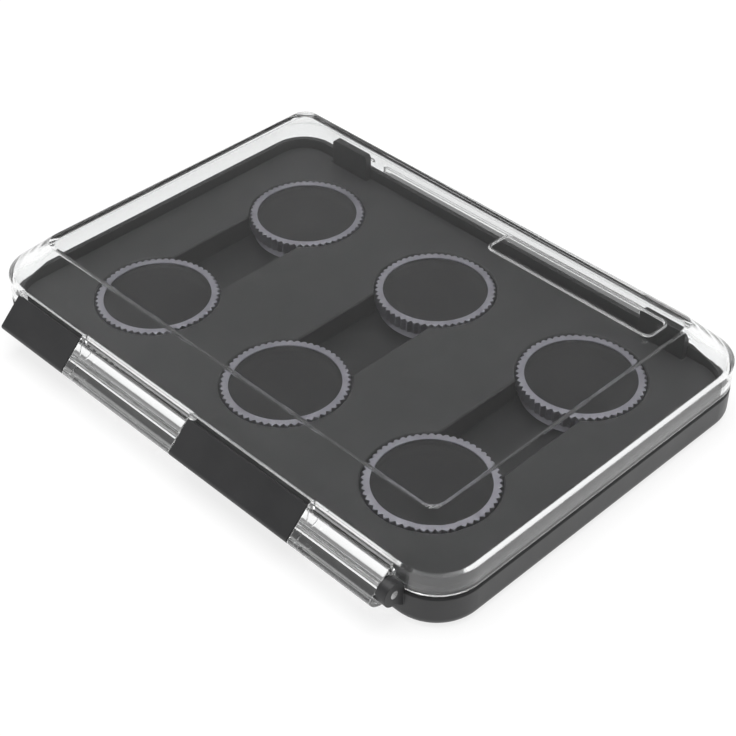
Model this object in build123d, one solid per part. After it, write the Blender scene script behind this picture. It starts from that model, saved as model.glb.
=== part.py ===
from build123d import *
from math import cos, pi, sin
import os

# Storage case for six threaded eyepiece filters: a black base tray, a clear hinged lid,
# an insert plate with six wells, one hinge pin, and in each well a filter made of a
# knurled threaded cell, a glass disc and a retaining ring.
# Millimetres. Origin at the centre of the case's underside, X along the hinge,
# Y from the hinge side to the opening side, Z up.

# ---- case outline ----
CASE_X = 154.0            # outer length of tray and lid skirt
CASE_Y = 107.4            # outer width without hinge and finger tab
CORNER_R = 12.0           # outer corner radius in plan

# ---- base tray ----
FLOOR = 1.3               # thickness of the tray's floor
BASE_WALL = 3.4           # thickness of the tray's side wall
BASE_TOP = 8.8            # height of the rim that the lid closes on
BOTTOM_FILLET = 2.6       # rounding between floor and side wall
PARTING_CHAMFER = 0.6     # chamfer on each side of the parting line
LIP_TOP = 9.8             # top of the locating lip inside the lid
LIP_SET_IN = 2.1          # lip's outer face behind the tray's outer face

# ---- lid ----
LID_WALL = 2.0            # thickness of the flat window
SKIRT_WALL = 1.8          # thickness of the upright skirt at its foot
TURN_WALL = 2.3           # and at the inner turn
LID_RIM = 8.9             # underside of the lid's skirt
TURN_Z = 15.1             # where the upright skirt turns into the sloped wall, outside
DRAFT_Z = 12.0            # inside, the skirt leans in from here
INNER_TURN_Z = 14.0       # up to the turn into the sloped wall
LID_TOP = 24.5            # upper face of the flat window
WINDOW = (132.4, 88.4, 4.0)     # flat window outside: length, width, corner radius
CEILING = (129.8, 85.8, 3.0)    # flat ceiling inside

# ---- finger tab and label frame on the lid ----
TAB_LENGTH = 89.0
TAB_REACH = 2.4
TAB_THICK = 1.6
LABEL_X = 37.0            # centre of the raised label frame
LABEL_Y = 35.0
LABEL_LENGTH = 50.0
LABEL_WIDTH = 8.0
LABEL_LINE = 0.5          # width of the frame's line
LABEL_RISE = 0.3

# ---- hinge ----
HINGE_Y = -56.2           # hinge axis
HINGE_Z = 9.6
KNUCKLE_R = 4.75          # round underside; the flat outer face lies in the lid's slope
KNUCKLE_EDGE = 0.9        # rounding of the lower outer edge
TRAY_KNUCKLE_BACK = -54.3    # upright back face of the tray's knuckles
EAR_R = 3.0               # small round end ear of the tray
PIN_R = 1.0
PIN_CLEARANCE = 0.06      # radial, in the lid's knuckles
KNUCKLE_GAP = 0.3         # end play between neighbouring knuckles
SWING_GAP = 0.3           # radial room around a knuckle in the other part
NOTCH_R = 6.3             # swing of the lid's edge over the tray's knuckles
SHOULDER_LOW = 12.5       # the lid's knuckles hang free below this height
HINGE_SPLITS = [-64.0, -39.5, 0.1, 39.2, 64.1]   # tray, lid, tray, lid
EAR_END = 67.0
PIN_START = -62.0         # the first knuckle is blind
TRAY_WEB_LOW = 4.5        # where the tray's knuckles run into its wall

# ---- snap hooks on the tray, catch ridges in the lid ----
HOOK_CENTRE = 53.5        # plus and minus X
HOOK_WIDTH = 12.8
HOOK_THICK = 2.0
HOOK_TOP = 14.3
HOOK_BEAD = 0.4
HOOK_BEAD_Z = 13.1
RIDGE_REACH = 0.8
RIDGE_Z = 11.7

# ---- insert plate ----
DECK = 7.2                # upper face of the insert, level with the filters
INSERT_GAP = 0.2          # room to the tray's wall
WELL_R = 15.5
CHANNEL_WIDTH = 19.0      # finger channel between two wells
EDGE_BREAK = 0.35
GRID_X = 47.25            # pitch along the hinge
GRID_Y = 51.0             # pitch across
GRID_CENTRE = (0.4, 0.6)

# ---- filters ----
TEETH = 54
TIP_R = 15.35             # knurl tips
ROOT_R = 14.5             # knurl roots
KNURL_LOW = 3.9           # underside of the knurled flange
CLEAR_R = 13.25           # clear aperture
BORE_R = 13.65            # bore for glass and retaining ring
SEAT = 6.9                # underside of the aperture lip
CELL_CHAMFER = 0.3
THREAD_R = 14.25          # M28.5 thread, crests
THREAD_ROOT_R = 13.95
THREAD_PITCH = 0.6
THREAD_TURNS = 3
GLASS_R = 13.5
GLASS_THICK = 1.9
RETAINER_R = 13.6
RETAINER_BORE_R = 12.5
RETAINER_THICK = 1.5
SPANNER_SLOT = 1.2
SPANNER_DEPTH = 0.6

SINK = 0.4                # how far joined shapes run into each other


def rounded_plate(length, width, radius, low, high):
    """Upright block with rounded corners, between two heights."""
    outline = RectangleRounded(length, width, radius)
    return Pos(0, 0, low) * extrude(outline, high - low)


def tapered_plate(size_low, size_high, low, high):
    """Block that tapers between two rounded outlines, each (length, width, radius)."""
    outlines = [Pos(0, 0, low) * RectangleRounded(*size_low),
                Pos(0, 0, high) * RectangleRounded(*size_high)]
    return loft(outlines, ruled=True)


def block(x0, x1, y0, y1, z0, z1):
    """Plain block between low and high corners."""
    centre = Pos((x0 + x1) / 2, (y0 + y1) / 2, (z0 + z1) / 2)
    return centre * Box(x1 - x0, y1 - y0, z1 - z0)


def rod(radius, x0, x1):
    """Cylinder on the hinge axis."""
    place = Pos((x0 + x1) / 2, HINGE_Y, HINGE_Z) * Rot(0, 90, 0)
    return place * Cylinder(radius, x1 - x0)


def prism(points, x0, x1):
    """Profile of (y, z) points, extruded along X."""
    outline = make_face(Polyline([(x0, y, z) for y, z in points], close=True))
    return extrude(outline, x1 - x0, dir=(1, 0, 0))


def inset(size, distance):
    """A rounded outline moved in by a distance."""
    length, width, radius = size
    return (length - 2 * distance, width - 2 * distance, radius - distance)


def slope_z(y):
    """Height of the lid's outer slope on the hinge side."""
    return TURN_Z + (y - BACK) * (LID_TOP - TURN_Z) / ((CASE_Y - WINDOW[1]) / 2)


def knuckle_spans(first):
    """The X spans of every second knuckle, first = 0 for the tray and 1 for the lid."""
    return [(HINGE_SPLITS[i] + KNUCKLE_GAP / 2, HINGE_SPLITS[i + 1] - KNUCKLE_GAP / 2)
            for i in range(first, len(HINGE_SPLITS) - 1, 2)]


def knuckle(x0, x1, web):
    """Hinge knuckle with a flat outer face, plus the web (y, z) that ties it to its wall."""
    out, low = HINGE_Y - 2 * KNUCKLE_R, HINGE_Z - 2 * KNUCKLE_R
    root = BACK + SINK
    under_slope = prism([(out, slope_z(out)), (root, slope_z(root)), (root, low), (out, low)], x0, x1)
    body = rod(KNUCKLE_R, x0, x1) & under_slope
    body = fillet(body.edges().filter_by(Axis.X).sort_by(Axis.Y)[0], KNUCKLE_EDGE)
    face_point = (HINGE_Y - PIN_R, slope_z(HINGE_Y - PIN_R))
    return body + prism([(HINGE_Y, HINGE_Z), face_point] + web, x0, x1)


CASE = (CASE_X, CASE_Y, CORNER_R)
BACK = -CASE_Y / 2                        # outer face of the hinge side
FRONT = CASE_Y / 2                        # outer face of the opening side
TRAY_SPANS = knuckle_spans(0)
LID_SPANS = knuckle_spans(1)
HOOK_Y = FRONT - BASE_WALL + 0.1          # outer face of a hook, just inside the wall
EAR_SPAN = (HINGE_SPLITS[-1] + KNUCKLE_GAP / 2, EAR_END)


def make_hinge_pin():
    return rod(PIN_R, PIN_START, EAR_END)


def make_base(pin):
    tray = rounded_plate(*CASE, 0, BASE_TOP)
    tray = fillet(tray.edges().group_by(Axis.Z)[0], BOTTOM_FILLET)
    tray = chamfer(tray.edges().group_by(Axis.Z)[-1], PARTING_CHAMFER)
    tray += rounded_plate(*inset(CASE, LIP_SET_IN), BASE_TOP - SINK, LIP_TOP)
    tray -= rounded_plate(*inset(CASE, BASE_WALL), FLOOR, LIP_TOP + 1)
    for x0, x1 in LID_SPANS:
        tray -= rod(KNUCKLE_R + SWING_GAP, x0 - KNUCKLE_GAP, x1 + KNUCKLE_GAP)
    root = BACK + SINK
    wall_join = [(root, BASE_TOP - PARTING_CHAMFER), (root, TRAY_WEB_LOW)]
    web = [(TRAY_KNUCKLE_BACK, slope_z(TRAY_KNUCKLE_BACK)), (TRAY_KNUCKLE_BACK, BASE_TOP)] + wall_join
    for x0, x1 in TRAY_SPANS:
        tray += knuckle(x0, x1, web + [(HINGE_Y, HINGE_Z - KNUCKLE_R)])
    ear_web = [(HINGE_Y, HINGE_Z)] + wall_join + [(HINGE_Y, HINGE_Z - EAR_R)]
    tray += rod(EAR_R, *EAR_SPAN) + prism(ear_web, *EAR_SPAN)
    for side in (-1, 1):
        tray += make_hook(side * HOOK_CENTRE)
    return tray - pin


def make_hook(x):
    """Upright snap hook with a small bead near its top."""
    x0, x1 = x - HOOK_WIDTH / 2, x + HOOK_WIDTH / 2
    post = block(x0, x1, HOOK_Y - HOOK_THICK, HOOK_Y, FLOOR - SINK, HOOK_TOP)
    post = fillet(post.edges().filter_by(Axis.Y).group_by(Axis.Z)[-1], HOOK_THICK / 2)
    bead = [(HOOK_Y - SINK, HOOK_BEAD_Z - HOOK_BEAD), (HOOK_Y + HOOK_BEAD, HOOK_BEAD_Z),
            (HOOK_Y - SINK, HOOK_BEAD_Z + 2 * HOOK_BEAD)]
    return post + prism(bead, x0 + 1, x1 - 1)


def lid_hollow():
    """Inside of the lid: upright skirt, leaning skirt, sloped walls and a flat ceiling."""
    skirt = inset(CASE, SKIRT_WALL)
    turn = inset(CASE, TURN_WALL)
    hollow = rounded_plate(*skirt, LID_RIM - 1, DRAFT_Z)
    hollow += tapered_plate(skirt, turn, DRAFT_Z, INNER_TURN_Z)
    return hollow + tapered_plate(turn, CEILING, INNER_TURN_Z, LID_TOP - LID_WALL)


def make_lid():
    shell = rounded_plate(*CASE, LID_RIM, TURN_Z)
    shell = chamfer(shell.edges().group_by(Axis.Z)[0], PARTING_CHAMFER)
    shell += tapered_plate(CASE, WINDOW, TURN_Z, LID_TOP)
    shell += make_finger_tab()
    shell -= lid_hollow()
    for x0, x1 in TRAY_SPANS:
        shell -= rod(NOTCH_R, x0 - KNUCKLE_GAP, x1 + KNUCKLE_GAP)
    shell -= rod(EAR_R + SWING_GAP, EAR_SPAN[0] - KNUCKLE_GAP, EAR_END + KNUCKLE_GAP)
    root = BACK + SINK
    web = [(root, slope_z(root)), (root, LID_RIM)]
    for x0, x1 in LID_SPANS:
        shell += knuckle(x0, x1, web)
        shell -= block(x0, x1, root, BACK + SKIRT_WALL + 1, LID_RIM - 1, SHOULDER_LOW)
    for side in (-1, 1):
        shell += make_catch_ridge(side * HOOK_CENTRE)
    shell += make_label_frame()
    return shell - rod(PIN_R + PIN_CLEARANCE, HINGE_SPLITS[0], EAR_END)


def make_finger_tab():
    """Thumb tab along the foot of the lid's front, with rounded ends."""
    depth = TAB_REACH + SKIRT_WALL / 2
    tab = block(-TAB_LENGTH / 2, TAB_LENGTH / 2, FRONT - SKIRT_WALL / 2, FRONT + TAB_REACH,
                LID_RIM, LID_RIM + TAB_THICK)
    corners = tab.edges().filter_by(Axis.Z).group_by(Axis.Y)[-1]
    return fillet(corners, depth * 0.65)


def make_catch_ridge(x):
    """Low ridge inside the lid's front, under a hook's bead when the lid is shut."""
    inner = FRONT - SKIRT_WALL
    ridge = [(inner + SINK, RIDGE_Z - RIDGE_REACH), (inner - RIDGE_REACH, RIDGE_Z),
             (inner + SINK, RIDGE_Z + RIDGE_REACH)]
    return prism(ridge, x - HOOK_WIDTH / 2, x + HOOK_WIDTH / 2)


def make_label_frame():
    """Plain raised frame for a paper label."""
    outer = RectangleRounded(LABEL_LENGTH, LABEL_WIDTH, LABEL_WIDTH / 4)
    inner = RectangleRounded(LABEL_LENGTH - 2 * LABEL_LINE, LABEL_WIDTH - 2 * LABEL_LINE,
                             LABEL_WIDTH / 4 - LABEL_LINE)
    return Pos(LABEL_X, LABEL_Y, LID_TOP - SINK) * extrude(outer - inner, SINK + LABEL_RISE)


def well_places():
    """Filter centres, front row after back row, left to right."""
    return [(GRID_CENTRE[0] + column * GRID_X, GRID_CENTRE[1] + row * GRID_Y / 2)
            for row in (-1, 1) for column in (-1, 0, 1)]


def make_insert():
    plate = rounded_plate(*inset(CASE, BASE_WALL + INSERT_GAP), FLOOR, DECK)
    cut = Sketch()
    for x, y in well_places():
        cut += Pos(x, y) * Circle(WELL_R)
    for column in (-1, 0, 1):
        cut += Pos(GRID_CENTRE[0] + column * GRID_X, GRID_CENTRE[1]) * Rectangle(CHANNEL_WIDTH, GRID_Y)
    for side in (-1, 1):
        room = HOOK_THICK + INSERT_GAP
        cut += Pos(side * HOOK_CENTRE, HOOK_Y) * Rectangle(HOOK_WIDTH + 2 * INSERT_GAP, 2 * room)
    plate -= Pos(0, 0, FLOOR - 1) * extrude(cut, DECK - FLOOR + 2)
    return chamfer(plate.edges().group_by(Axis.Z)[-1], EDGE_BREAK)


def make_cell():
    """Knurled cell: toothed flange above, short male thread below, bored through."""
    step = 2 * pi / TEETH
    outline = []
    for tooth in range(TEETH):
        for radius, angle in ((TIP_R, tooth * step), (ROOT_R, (tooth + 0.5) * step)):
            outline.append((radius * cos(angle), radius * sin(angle)))
    flange = Pos(0, 0, KNURL_LOW) * extrude(make_face(Polyline(outline, close=True)), DECK - KNURL_LOW)
    blank = Pos(0, 0, (KNURL_LOW + DECK) / 2) * Cylinder(TIP_R, DECK - KNURL_LOW)
    flange &= chamfer(blank.edges().filter_by(GeomType.CIRCLE), CELL_CHAMFER)
    profile = [(0, FLOOR), (THREAD_ROOT_R, FLOOR)]
    for turn in range(THREAD_TURNS):
        z = FLOOR + (turn + 0.5) * THREAD_PITCH
        profile += [(THREAD_R, z), (THREAD_ROOT_R, z + THREAD_PITCH / 2)]
    profile += [(THREAD_ROOT_R, KNURL_LOW + SINK), (0, KNURL_LOW + SINK)]
    thread = revolve(make_face(Polyline([(r, 0, z) for r, z in profile], close=True)), Axis.Z)
    bore = Pos(0, 0, (FLOOR + SEAT) / 2 - 0.5) * Cylinder(BORE_R, SEAT - FLOOR + 1)
    aperture = Pos(0, 0, SEAT) * Cylinder(CLEAR_R, 4 * (DECK - SEAT))
    return flange + thread - bore - aperture


def make_glass():
    disc = Pos(0, 0, SEAT - GLASS_THICK / 2) * Cylinder(GLASS_R, GLASS_THICK)
    return chamfer(disc.edges().filter_by(GeomType.CIRCLE), 0.15)


def make_retainer():
    """Threaded ring under the glass, with two spanner slots in its lower face."""
    top = SEAT - GLASS_THICK
    ring = Cylinder(RETAINER_R, RETAINER_THICK) - Cylinder(RETAINER_BORE_R, RETAINER_THICK * 2)
    ring = Pos(0, 0, top - RETAINER_THICK / 2) * ring
    slot = Pos(0, 0, top - RETAINER_THICK) * Box(3 * RETAINER_R, SPANNER_SLOT, 2 * SPANNER_DEPTH)
    return ring - slot


def make_nodes():
    pin = make_hinge_pin()
    nodes = {"base_tray": make_base(pin), "clear_lid": make_lid(), "insert_plate": make_insert(),
             "hinge_pin": pin}
    filter_pieces = {"cell": make_cell(), "glass": make_glass(), "retaining_ring": make_retainer()}
    for number, (x, y) in enumerate(well_places(), start=1):
        for piece, shape in filter_pieces.items():
            nodes[f"filter_{number}_{piece}"] = Pos(x, y, 0) * shape
    return nodes


os.makedirs("parts", exist_ok=True)
for name, shape in make_nodes().items():
    export_step(shape, f"parts/{name}.step")
    size = shape.bounding_box().size
    print(f"{name}: {len(shape.solids())} solid, {size.X:.1f} x {size.Y:.1f} x {size.Z:.1f} mm")
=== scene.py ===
# %% [markdown]
# # A storage case with six eyepiece filters
#
# The object is a flat hinged case: a satin black tray, a tall clear lid, an insert plate with
# six wells, and a round filter in each well. The pieces could be modelled again as meshes, but
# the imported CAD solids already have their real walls, fillets and knurls. So this script keeps
# every solid, and gives it a finish, light around it and a camera.

# %% Load the frame
import math
import bpy
from mathutils import Matrix, Vector


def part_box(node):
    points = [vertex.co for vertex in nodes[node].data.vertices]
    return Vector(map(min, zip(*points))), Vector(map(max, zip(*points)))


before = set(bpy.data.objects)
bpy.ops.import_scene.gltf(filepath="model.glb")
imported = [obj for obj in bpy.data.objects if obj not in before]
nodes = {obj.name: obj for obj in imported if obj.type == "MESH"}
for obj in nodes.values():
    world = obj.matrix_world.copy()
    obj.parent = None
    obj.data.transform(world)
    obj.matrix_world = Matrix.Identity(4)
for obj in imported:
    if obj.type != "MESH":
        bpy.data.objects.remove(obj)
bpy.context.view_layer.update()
print(len(nodes), "nodes in the frame")

# %% [markdown]
# ## Camera
#
# A case this size is usually shown with a short telephoto lens, from above one corner, so that
# the lid's window and both near sides can be seen at once. The camera is placed by azimuth,
# elevation and distance from an aim point near the parting line, with a slight roll. A tracking
# constraint could do the same, but a rotation matrix worked out once is easier to repeat
# exactly.

# %% Camera
MM = 0.001
AZIMUTH = math.radians(45.18)
ELEVATION = math.radians(39.77)
ROLL = math.radians(0.12)
DISTANCE = 402.8 * MM
AIM = Vector((10.7, -8.0, 8.3)) * MM
FOCAL_LENGTH = 82.87
SENSOR_WIDTH = 36.0
NEAR_CLIP = 0.01

back = Vector((math.sin(AZIMUTH) * math.cos(ELEVATION),
               -math.cos(AZIMUTH) * math.cos(ELEVATION),
               math.sin(ELEVATION)))
camera_data = bpy.data.cameras.new("camera")
camera_data.lens = FOCAL_LENGTH
camera_data.sensor_width = SENSOR_WIDTH
camera_data.clip_start = NEAR_CLIP
camera = bpy.data.objects.new("camera", camera_data)
bpy.context.scene.collection.objects.link(camera)
camera.matrix_world = (Matrix.Translation(AIM + back * DISTANCE)
                       @ back.to_track_quat("Z", "Y").to_matrix().to_4x4()
                       @ Matrix.Rotation(ROLL, 4, "Z"))
bpy.context.scene.camera = camera
print("camera at", [round(v / MM) for v in camera.location], "mm")

# %% [markdown]
# ## Light paths and colours
#
# A ray that runs inside the wall of a clear lid is reflected many times before it comes out.
# If the renderer gives up on it too early, the edges of the lid turn black, so the limits on
# bounces are raised. The Standard view shows a white ground as pure white. A filmic view could
# save burnt highlights, but it turns white to grey.

# %% Light paths and colours
ALL_BOUNCES = 40
CLEAR_BOUNCES = 32

bpy.context.scene.view_settings.view_transform = "Standard"
bpy.context.scene.cycles.max_bounces = ALL_BOUNCES
bpy.context.scene.cycles.glossy_bounces = CLEAR_BOUNCES
bpy.context.scene.cycles.transmission_bounces = CLEAR_BOUNCES
print("rays bounce up to", ALL_BOUNCES, "times")

# %% [markdown]
# ## Dome
#
# Clear plastic shows nothing but what is around it, so the surroundings matter more than the
# lamps. A studio hangs white paper around such a case. Here the world is a dome instead: white
# at the horizon, which the edges of the lid bend into view, and darker higher up, so that the
# flat window does not turn milky. Sheets of paper could be modelled, but a gradient has no
# edges that show in the lid.

# %% Dome
DOME_HORIZON = 1.05
DOME_TOP = 0.25
FADE_FROM = 0.05
FADE_TO = 0.60
WHITE = (1, 1, 1, 1)


def add(tree, kind, **values):
    """Adds one node; names of attributes set them, and other names set inputs."""
    node = tree.nodes.new(kind)
    for name, value in values.items():
        if hasattr(node, name):
            setattr(node, name, value)
        else:
            node.inputs[name.replace("_", " ")].default_value = value
    return node


def make_dome():
    """A world whose strength fades with height; the fade's ends are sines of elevation."""
    world = bpy.data.worlds.new("dome")
    bpy.context.scene.world = world
    world.use_nodes = True
    tree = world.node_tree
    background = tree.nodes["Background"]
    background.inputs["Color"].default_value = WHITE
    place = add(tree, "ShaderNodeTexCoord")
    split = add(tree, "ShaderNodeSeparateXYZ")
    ramp = add(tree, "ShaderNodeMapRange", interpolation_type="SMOOTHSTEP",
               From_Min=FADE_FROM, From_Max=FADE_TO, To_Min=DOME_HORIZON, To_Max=DOME_TOP)
    tree.links.new(place.outputs["Generated"], split.inputs[0])
    tree.links.new(split.outputs["Z"], ramp.inputs["Value"])
    tree.links.new(ramp.outputs["Result"], background.inputs["Strength"])


make_dome()
print("dome made,", DOME_HORIZON, "bright at the horizon and", DOME_TOP, "above")

# %% [markdown]
# ## Light table
#
# The case stands on a light table: white acrylic lit from below, which gives a white ground
# with hardly any shadow and sends light up into the edges of the lid. A plain lit floor would
# do too, but it leaves a dark shadow. One wide glowing plane is enough for the acrylic,
# because its edge is out of sight.

# %% Light table
TABLE_HALF = 6.0
TABLE_COLOUR = (0.20, 0.20, 0.20, 1)
TABLE_GLOW = 0.80
TABLE_ROUGHNESS = 0.9


def new_material(name):
    """A material with an empty node tree that holds a Principled shader and an output."""
    material = bpy.data.materials.new(name)
    material.use_nodes = True
    return material, material.node_tree, material.node_tree.nodes["Principled BSDF"]


def make_table():
    """A wide square plane that glows evenly."""
    near, far = -TABLE_HALF, TABLE_HALF
    data = bpy.data.meshes.new("light_table")
    data.from_pydata([(near, near, 0), (far, near, 0), (far, far, 0), (near, far, 0)],
                     [], [(0, 1, 2, 3)])
    plane = bpy.data.objects.new("light_table", data)
    bpy.context.scene.collection.objects.link(plane)
    material, _, shader = new_material("lit_acrylic")
    shader.inputs["Base Color"].default_value = TABLE_COLOUR
    shader.inputs["Emission Color"].default_value = WHITE
    shader.inputs["Emission Strength"].default_value = TABLE_GLOW
    shader.inputs["Roughness"].default_value = TABLE_ROUGHNESS
    shader.inputs["Specular IOR Level"].default_value = 0.0
    data.materials.append(material)


make_table()
print("light table made,", 2 * TABLE_HALF, "m wide")

# %% [markdown]
# ## Lamp
#
# One broad soft lamp hangs overhead and reaches into the case through the lid. Several small
# lamps could light the case as well, but each would leave its own bright spot in the window.

# %% Lamp
LAMP_HEIGHT = 1.4
LAMP_WIDTH = 1.2
LAMP_WATTS = 22

lamp_data = bpy.data.lights.new("overhead", "AREA")
lamp_data.size = LAMP_WIDTH
lamp_data.energy = LAMP_WATTS
lamp = bpy.data.objects.new("overhead", lamp_data)
lamp.location = (0.0, 0.0, LAMP_HEIGHT)
lamp.rotation_euler = lamp.location.to_track_quat("Z", "Y").to_euler()
bpy.context.scene.collection.objects.link(lamp)
print("lamp of", LAMP_WATTS, "W made,", LAMP_HEIGHT, "m up, facing the object")

# %% [markdown]
# ## Noise for the finishes
#
# No real surface has the same colour and gloss all over. Image textures could carry such
# changes, but noise has no seams and stays sharp from close by. The noise is laid out in each
# piece's own coordinates, in metres, so that a finish has its true size and moves with its
# piece. Most of a noise's values lie between 0.3 and 0.7, and the helpers stretch that range
# onto the one that is wanted.

# %% Noise for the finishes
NOISE_LOW = 0.3
NOISE_HIGH = 0.7


def noise(tree, size, detail=3.0, stretch=(1, 1, 1)):
    """Noise whose features are about the given size in metres, stretched along axes."""
    place = add(tree, "ShaderNodeTexCoord")
    mapping = add(tree, "ShaderNodeMapping", Scale=[1 / (size * s) for s in stretch])
    texture = add(tree, "ShaderNodeTexNoise", Scale=1.0, Detail=detail)
    tree.links.new(place.outputs["Object"], mapping.inputs["Vector"])
    tree.links.new(mapping.outputs["Vector"], texture.inputs["Vector"])
    return texture.outputs["Fac"]


def spread(tree, value, low, high):
    """Maps a noise onto low to high."""
    node = add(tree, "ShaderNodeMapRange",
               From_Min=NOISE_LOW, From_Max=NOISE_HIGH, To_Min=low, To_Max=high)
    tree.links.new(value, node.inputs["Value"])
    return node.outputs["Result"]


def two_tone(tree, value, dark, light):
    """Mixes two colours by a noise."""
    node = add(tree, "ShaderNodeMix", data_type="RGBA", A=(*dark, 1), B=(*light, 1))
    tree.links.new(spread(tree, value, 0.0, 1.0), node.inputs["Factor"])
    return node.outputs["Result"]


print("noise from", NOISE_LOW, "to", NOISE_HIGH, "drives the colours and the gloss")

# %% [markdown]
# ## Soft edges and relief
#
# No moulded or turned edge is truly sharp: it has a tiny radius that catches the light.
# Modelled fillets would show it with many more faces. A bevel node rounds only the shading of
# the edges, which is enough for radii this small, and a bump node adds the fine relief of the
# surface on top.

# %% Soft edges and relief
EDGE_SAMPLES = 6


def soft_edges(tree, radius):
    """Normals that round every edge by a radius."""
    return add(tree, "ShaderNodeBevel", samples=EDGE_SAMPLES, Radius=radius).outputs["Normal"]


def relief(tree, height, depth, below):
    """A bump of the given depth in metres, on top of other normals."""
    node = add(tree, "ShaderNodeBump", Distance=depth)
    tree.links.new(height, node.inputs["Height"])
    tree.links.new(below, node.inputs["Normal"])
    return node.outputs["Normal"]


def feed(tree, shader, **outputs):
    """Links outputs to the shader's inputs of the same names."""
    for name, output in outputs.items():
        tree.links.new(output, shader.inputs[name.replace("_", " ")])


print("edges are rounded with", EDGE_SAMPLES, "samples")

# %% [markdown]
# ## Moulded black plastic
#
# The tray and the insert plate are injection-moulded from black plastic. The steel mould is
# spark-eroded, so the surface has a fine, even grain that scatters light and looks satin.
# Roughness alone could make it satin, but close by it would look too smooth. So a noise of a
# fraction of a millimetre drives the bump, and broader ones vary the colour and the gloss a
# little, as handling does.

# %% Moulded black plastic
GRAIN = 0.28 * MM
GRAIN_DEPTH = 0.02 * MM
COLOUR_CLOUDS = 6 * MM
HANDLED_AREAS = 18 * MM
MOULD_EDGE = 0.25 * MM
BLACK_PLASTIC_IOR = 1.5


def moulded_black(name, dark, light, roughness):
    """Grained black plastic; roughness is a range."""
    material, tree, shader = new_material(name)
    colour = two_tone(tree, noise(tree, COLOUR_CLOUDS), dark, light)
    gloss = spread(tree, noise(tree, HANDLED_AREAS, detail=5.0), *roughness)
    grain = relief(tree, noise(tree, GRAIN, detail=2.0), GRAIN_DEPTH,
                   soft_edges(tree, MOULD_EDGE))
    feed(tree, shader, Base_Color=colour, Roughness=gloss, Normal=grain)
    shader.inputs["IOR"].default_value = BLACK_PLASTIC_IOR
    return material


tray_plastic = moulded_black(
    "tray_plastic", dark=(0.015, 0.015, 0.016), light=(0.020, 0.020, 0.021),
    roughness=(0.36, 0.46))
insert_plastic = moulded_black(
    "insert_plastic", dark=(0.031, 0.031, 0.032), light=(0.038, 0.038, 0.039),
    roughness=(0.46, 0.58))
print("black plastics made, with a grain of", round(GRAIN / MM, 2), "mm")

# %% [markdown]
# ## Clear plastic
#
# The lid is polished clear polystyrene. A transparent shader is the quick way to make such a
# lid, but it does not bend light. This lid is one closed solid with a real wall thickness, so
# a transmitting shader with the plastic's own refractive index can bend the tray's black lip
# and the white surroundings into the dark and bright bands that show along its edges.
# A faint waviness, soft edges and a wandering polish keep it from looking computed.

# %% Clear plastic
LID_COLOUR = (0.985, 0.99, 0.99, 1)
LID_IOR = 1.52
LID_EDGE = 0.5 * MM
LID_WAVE = 14 * MM
LID_WAVE_DEPTH = 0.004 * MM
LID_SMEARS = 9 * MM
LID_ROUGHEST = 0.02


def make_clear_plastic():
    """Clear plastic that bends light, for a closed solid."""
    material, tree, shader = new_material("clear_plastic")
    wear = spread(tree, noise(tree, LID_SMEARS, detail=6.0), 0.0, LID_ROUGHEST)
    wave = relief(tree, noise(tree, LID_WAVE, detail=1.0), LID_WAVE_DEPTH,
                  soft_edges(tree, LID_EDGE))
    feed(tree, shader, Roughness=wear, Normal=wave)
    shader.inputs["Base Color"].default_value = LID_COLOUR
    shader.inputs["Transmission Weight"].default_value = 1.0
    shader.inputs["IOR"].default_value = LID_IOR
    return material


clear_plastic = make_clear_plastic()
print("clear plastic made, of refractive index", LID_IOR)

# %% [markdown]
# ## Turning marks
#
# The filter cells are turned on a lathe, which leaves fine circles around each filter's own
# axis. Stretched noise could give straight lines, but not circles. Generated coordinates run
# from 0 to 1 across each piece, so their distance from the middle gives the radius, and a
# noise along that radius draws the circles. In this way one finish serves all six cells.

# %% Turning marks
CELL_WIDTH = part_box("filter_1_cell")[1][0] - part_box("filter_1_cell")[0][0]
TURNING_MARK = 0.12 * MM


def turning_marks(tree):
    """Noise that changes only with the distance from the piece's upright axis."""
    centred = add(tree, "ShaderNodeMapping", Location=(-CELL_WIDTH / 2, -CELL_WIDTH / 2, 0),
                  Scale=(CELL_WIDTH, CELL_WIDTH, 0))
    radius = add(tree, "ShaderNodeVectorMath", operation="LENGTH")
    scaled = add(tree, "ShaderNodeMath", operation="DIVIDE")
    scaled.inputs[1].default_value = TURNING_MARK
    texture = add(tree, "ShaderNodeTexNoise", noise_dimensions="1D", Scale=1.0, Detail=2.0)
    place = add(tree, "ShaderNodeTexCoord")
    tree.links.new(place.outputs["Generated"], centred.inputs["Vector"])
    tree.links.new(centred.outputs["Vector"], radius.inputs[0])
    tree.links.new(radius.outputs["Value"], scaled.inputs[0])
    tree.links.new(scaled.outputs["Value"], texture.inputs["W"])
    return texture.outputs["Fac"]


print("turning marks for a cell of", round(CELL_WIDTH / MM, 1), "mm")

# %% [markdown]
# ## Metals
#
# The cells are aluminium, anodised to a matt grey-lilac skin over the turning marks, and the
# retaining rings are the same metal in black. The hinge pin is drawn steel wire, with fine
# lines along its length. Plain metal with one roughness could stand for all three, but only
# the tool marks tell turned metal from drawn wire, so they drive both the gloss and the bump.

# %% Metals
METAL_EDGE = 0.10 * MM
METAL_CLOUDS = 3 * MM
WIRE_LINE = 0.1 * MM
WIRE_STRETCH = (60, 1, 1)


def drawing_marks(tree):
    """Noise drawn out along a wire that lies along X."""
    return noise(tree, WIRE_LINE, stretch=WIRE_STRETCH)


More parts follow.
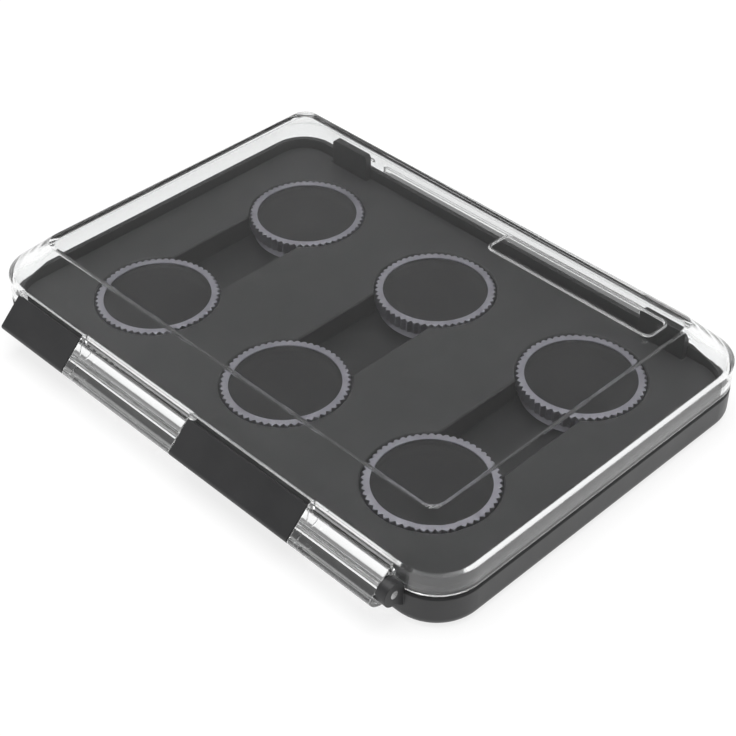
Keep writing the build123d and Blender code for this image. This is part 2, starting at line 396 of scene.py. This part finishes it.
def make_metal(name, marks, depth, dark, light, roughness):
    """Metal with tool marks of a depth in metres; roughness is a range."""
    material, tree, shader = new_material(name)
    tool_marks = marks(tree)
    colour = two_tone(tree, noise(tree, METAL_CLOUDS), dark, light)
    gloss = spread(tree, tool_marks, *roughness)
    surface = relief(tree, tool_marks, depth, soft_edges(tree, METAL_EDGE))
    feed(tree, shader, Base_Color=colour, Roughness=gloss, Normal=surface)
    shader.inputs["Metallic"].default_value = 1.0
    return material


anodised_cell = make_metal(
    "anodised_cell", turning_marks, 0.004 * MM,
    dark=(0.40, 0.39, 0.44), light=(0.46, 0.45, 0.50), roughness=(0.40, 0.53))
ring_black = make_metal(
    "ring_black", turning_marks, 0.004 * MM,
    dark=(0.05, 0.05, 0.05), light=(0.07, 0.07, 0.07), roughness=(0.35, 0.48))
pin_steel = make_metal(
    "pin_steel", drawing_marks, 0.002 * MM,
    dark=(0.50, 0.50, 0.50), light=(0.60, 0.60, 0.60), roughness=(0.20, 0.33))
print("metals made, with turning marks of", round(TURNING_MARK / MM, 2), "mm")

# %% [markdown]
# ## Filter glass
#
# Each filter holds a polished disc of neutral grey glass. It lets part of the light through
# and looks dark over the black tray. A volume could absorb the light inside the disc, but it
# is slow to render, and a tinted surface looks the same on a disc this thin. A weak diffuse
# share stands for the scatter in the dyed glass, and faint smears vary the polish.

# %% Filter glass
GLASS_IOR = 1.52
GLASS_CLEAR_SHARE = 0.65
GLASS_CLOUDS = 12 * MM
GLASS_SMEARS = 5 * MM
GLASS_ROUGHEST = 0.05


def make_filter_glass(dark, light):
    """Tinted glass that lets through the clear share and scatters the rest."""
    material, tree, shader = new_material("filter_glass")
    tint = two_tone(tree, noise(tree, GLASS_CLOUDS), dark, light)
    wear = spread(tree, noise(tree, GLASS_SMEARS, detail=6.0), 0.0, GLASS_ROUGHEST)
    feed(tree, shader, Base_Color=tint, Roughness=wear)
    shader.inputs["Transmission Weight"].default_value = GLASS_CLEAR_SHARE
    shader.inputs["IOR"].default_value = GLASS_IOR
    return material


filter_glass = make_filter_glass(dark=(0.075, 0.075, 0.077), light=(0.090, 0.090, 0.092))
print("filter glass made,", GLASS_CLEAR_SHARE, "of it clear")

# %% [markdown]
# ## Finishes on the pieces
#
# Every CAD piece gets the finish of its real counterpart. A detailed mesh could stand in for a
# piece that needs another shape, but these solids have the right shapes, so each one stays and
# only its material slots change.

# %% Finishes on the pieces
FILTERS = range(1, 7)


def finish_node(name, material):
    """Gives every material slot of a CAD node the same finish."""
    for place in nodes[name].material_slots:
        place.material = material


finish_node("base_tray", tray_plastic)
finish_node("insert_plate", insert_plastic)
finish_node("clear_lid", clear_plastic)
finish_node("hinge_pin", pin_steel)
for number in FILTERS:
    finish_node(f"filter_{number}_cell", anodised_cell)
    finish_node(f"filter_{number}_glass", filter_glass)
    finish_node(f"filter_{number}_retaining_ring", ring_black)
print("finishes given to", len(nodes), "nodes")
